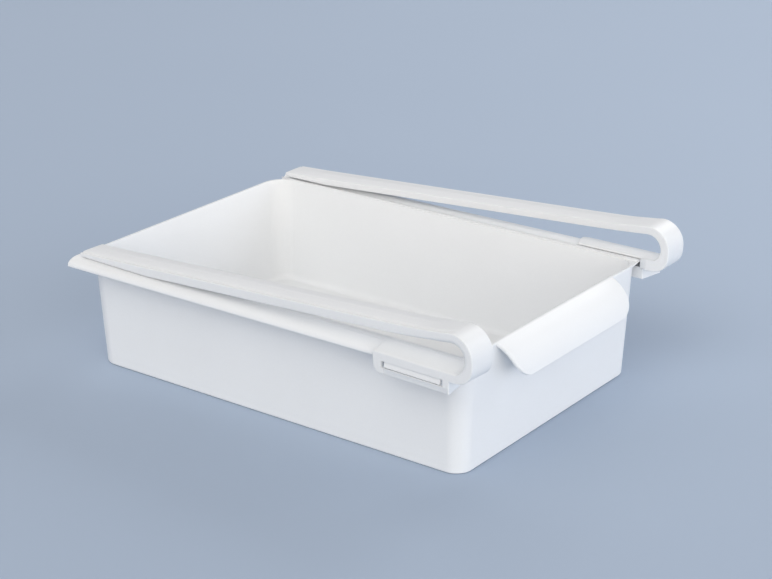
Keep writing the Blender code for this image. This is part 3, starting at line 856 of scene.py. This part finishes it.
def moulded_plastic(name, color, roughness, seed):
    """White injection-moulded plastic: faint cloudiness, fine grain, slightly uneven sheen."""
    material = bpy.data.materials.new(name)
    material.use_nodes = True
    tree = material.node_tree
    shader = tree.nodes["Principled BSDF"]
    shader.inputs["IOR"].default_value = PLASTIC_IOR
    shader.inputs["Specular IOR Level"].default_value = PLASTIC_SPECULAR

    def node(kind, **values):
        made = tree.nodes.new(kind)
        for key, value in values.items():
            made.inputs[key].default_value = value
        return made

    place = tree.nodes.new("ShaderNodeTexCoord")
    shifted = node("ShaderNodeMapping", Location=(seed, seed * 0.37, seed * 0.71))
    tree.links.new(place.outputs["Object"], shifted.inputs["Vector"])

    def noise(scale, detail):
        made = node("ShaderNodeTexNoise", Scale=scale, Detail=detail)
        tree.links.new(shifted.outputs["Vector"], made.inputs["Vector"])
        return made.outputs["Fac"]

    def ramp(source, low, high, start, end):
        limits = {"From Min": low, "From Max": high, "To Min": start, "To Max": end}
        made = node("ShaderNodeMapRange", **limits)
        tree.links.new(source, made.inputs["Value"])
        return made.outputs["Result"]

    cloud = noise(CLOUD_SCALE, 3.0)
    speck = noise(SPECK_SCALE, 2.0)
    tone = node("ShaderNodeMix")
    tone.data_type = "RGBA"
    tone.inputs[6].default_value = (*[c * CLOUD_SHADE for c in color], 1.0)
    tone.inputs[7].default_value = (*color, 1.0)
    tree.links.new(ramp(cloud, 0.35, 0.65, 0.0, 1.0), tone.inputs[0])
    grain = node("ShaderNodeMix")
    grain.data_type = "RGBA"
    grain.blend_type = "MULTIPLY"
    grain.inputs[0].default_value = 1.0
    tree.links.new(tone.outputs[2], grain.inputs[6])
    tree.links.new(ramp(speck, 0.3, 0.7, SPECK_SHADE, 1.0), grain.inputs[7])
    tree.links.new(grain.outputs[2], shader.inputs["Base Color"])

    wear = noise(WEAR_SCALE, 3.0)
    low = roughness - ROUGHNESS_SPREAD
    high = roughness + ROUGHNESS_SPREAD
    tree.links.new(ramp(wear, 0.3, 0.7, low, high), shader.inputs["Roughness"])

    round_edges = tree.nodes.new("ShaderNodeBevel")
    round_edges.samples = 6
    round_edges.inputs["Radius"].default_value = EDGE_ROUNDING * MM
    sway = node("ShaderNodeBump", Strength=0.35, Distance=0.0004)
    tree.links.new(noise(SWAY_SCALE, 1.0), sway.inputs["Height"])
    tree.links.new(round_edges.outputs["Normal"], sway.inputs["Normal"])
    texture = node("ShaderNodeBump", Strength=0.12, Distance=0.00005)
    tree.links.new(noise(GRAIN_SCALE, 2.0), texture.inputs["Height"])
    tree.links.new(sway.outputs["Normal"], texture.inputs["Normal"])
    tree.links.new(texture.outputs["Normal"], shader.inputs["Normal"])
    return material


def floor_material():
    """Matt painted board in a pale blue-grey."""
    material = bpy.data.materials.new("floor_board")
    material.use_nodes = True
    tree = material.node_tree
    shader = tree.nodes["Principled BSDF"]
    shader.inputs["Roughness"].default_value = 0.8
    shader.inputs["Specular IOR Level"].default_value = 0.2
    place = tree.nodes.new("ShaderNodeTexCoord")
    cloud = tree.nodes.new("ShaderNodeTexNoise")
    cloud.inputs["Scale"].default_value = FLOOR_CLOUD_SCALE
    cloud.inputs["Detail"].default_value = 1.0
    tree.links.new(place.outputs["Object"], cloud.inputs["Vector"])
    tone = tree.nodes.new("ShaderNodeMix")
    tone.data_type = "RGBA"
    tone.inputs[6].default_value = FLOOR_TONES[0]
    tone.inputs[7].default_value = FLOOR_TONES[1]
    tree.links.new(cloud.outputs["Fac"], tone.inputs[0])
    tree.links.new(tone.outputs[2], shader.inputs["Base Color"])
    return material


# ---------------------------------------------------------------- stage

def make_floor():
    """A level board, just below the tub's underside."""
    mesh = bpy.data.meshes.new("floor")
    signs = ((-1, -1), (1, -1), (1, 1), (-1, 1))
    corners = [(FLOOR_REACH * x, FLOOR_REACH * y, 0.0) for x, y in signs]
    mesh.from_pydata(corners, [], [(0, 1, 2, 3)])
    floor = bpy.data.objects.new("floor", mesh)
    bpy.context.scene.collection.objects.link(floor)
    floor.location.z = -FLOOR_DROP
    mesh.materials.append(floor_material())


def make_softbox(name, direction, distance, side, power):
    """A square lamp that faces the object."""
    lamp = bpy.data.lights.new(name, "AREA")
    lamp.size = side
    lamp.energy = power
    item = bpy.data.objects.new(name, lamp)
    bpy.context.scene.collection.objects.link(item)
    toward = Vector(direction).normalized()
    item.location = toward * distance + SOFTBOX_TARGET
    item.rotation_euler = (-toward).to_track_quat("-Z", "Y").to_euler()


def make_world():
    """Broad soft lights all round; the camera sees the backdrop's own tone."""
    world = bpy.data.worlds.new("studio")
    bpy.context.scene.world = world
    world.use_nodes = True
    tree = world.node_tree
    place = tree.nodes.new("ShaderNodeTexCoord")

    def maths(kind, operation, value, link):
        made = tree.nodes.new(kind)
        made.operation = operation
        made.inputs[1].default_value = value
        tree.links.new(link, made.inputs[0])
        return made

    total = None
    for azimuth, elevation, color in LIGHT_LOBES:
        turn = math.radians(azimuth)
        rise = math.radians(elevation)
        middle = (math.cos(turn) * math.cos(rise), math.sin(turn) * math.cos(rise), math.sin(rise))
        facing = maths("ShaderNodeVectorMath", "DOT_PRODUCT", middle, place.outputs["Generated"])
        ahead = maths("ShaderNodeMath", "MAXIMUM", 0.0, facing.outputs["Value"])
        narrowed = maths("ShaderNodeMath", "POWER", LOBE_POWER, ahead.outputs["Value"])
        part = tree.nodes.new("ShaderNodeVectorMath")
        part.operation = "SCALE"
        part.inputs[0].default_value = color
        tree.links.new(narrowed.outputs["Value"], part.inputs["Scale"])
        if total is None:
            total = part.outputs["Vector"]
        else:
            joined = tree.nodes.new("ShaderNodeVectorMath")
            joined.operation = "ADD"
            tree.links.new(total, joined.inputs[0])
            tree.links.new(part.outputs["Vector"], joined.inputs[1])
            total = joined.outputs["Vector"]
    light = tree.nodes["Background"]
    tree.links.new(total, light.inputs["Color"])
    shown = tree.nodes.new("ShaderNodeBackground")
    shown.inputs["Color"].default_value = (*BACKDROP, 1.0)
    path = tree.nodes.new("ShaderNodeLightPath")
    choose = tree.nodes.new("ShaderNodeMixShader")
    tree.links.new(path.outputs["Is Camera Ray"], choose.inputs[0])
    tree.links.new(light.outputs[0], choose.inputs[1])
    tree.links.new(shown.outputs[0], choose.inputs[2])
    tree.links.new(choose.outputs[0], tree.nodes["World Output"].inputs["Surface"])


def make_camera():
    """The photograph's own view, for a 772 x 579 picture."""
    turn = math.radians(CAMERA_TURN)
    down = math.radians(CAMERA_DOWN)
    roll = math.radians(CAMERA_ROLL)
    level = Vector((-math.sin(turn), math.cos(turn), 0.0))
    ahead = level * math.cos(down) - Vector((0.0, 0.0, math.sin(down)))
    right = Vector((math.cos(turn), math.sin(turn), 0.0))
    up = right.cross(ahead)
    across = math.cos(roll) * right + math.sin(roll) * up
    upward = -math.sin(roll) * right + math.cos(roll) * up
    data = bpy.data.cameras.new("camera")
    camera = bpy.data.objects.new("camera", data)
    bpy.context.scene.collection.objects.link(camera)
    data.sensor_width = SENSOR_WIDTH
    data.lens = FOCAL_PIXELS / PICTURE_WIDTH * SENSOR_WIDTH
    data.clip_start = 0.05
    data.clip_end = 50.0
    place = Matrix((across, upward, -ahead)).transposed().to_4x4()
    place.translation = CAMERA_PLACE
    camera.matrix_world = place
    bpy.context.scene.camera = camera


tub_white = moulded_plastic("tub_white", TUB_WHITE, TUB_ROUGHNESS, 3.1)
clip_white = moulded_plastic("clip_white", CLIP_WHITE, CLIP_ROUGHNESS, 7.7)
make_tub(tub_white)
make_clip("rail_clip_left_fine", -1, LEFT_YAW, clip_white, "clip_left", "rail_clip_left")
make_clip("rail_clip_right_fine", 1, 0.0, clip_white, "clip_right", "rail_clip_right")
make_floor()
for softbox in SOFTBOXES:
    make_softbox(*softbox)
make_world()
make_camera()
bpy.context.scene.view_settings.view_transform = "Standard"
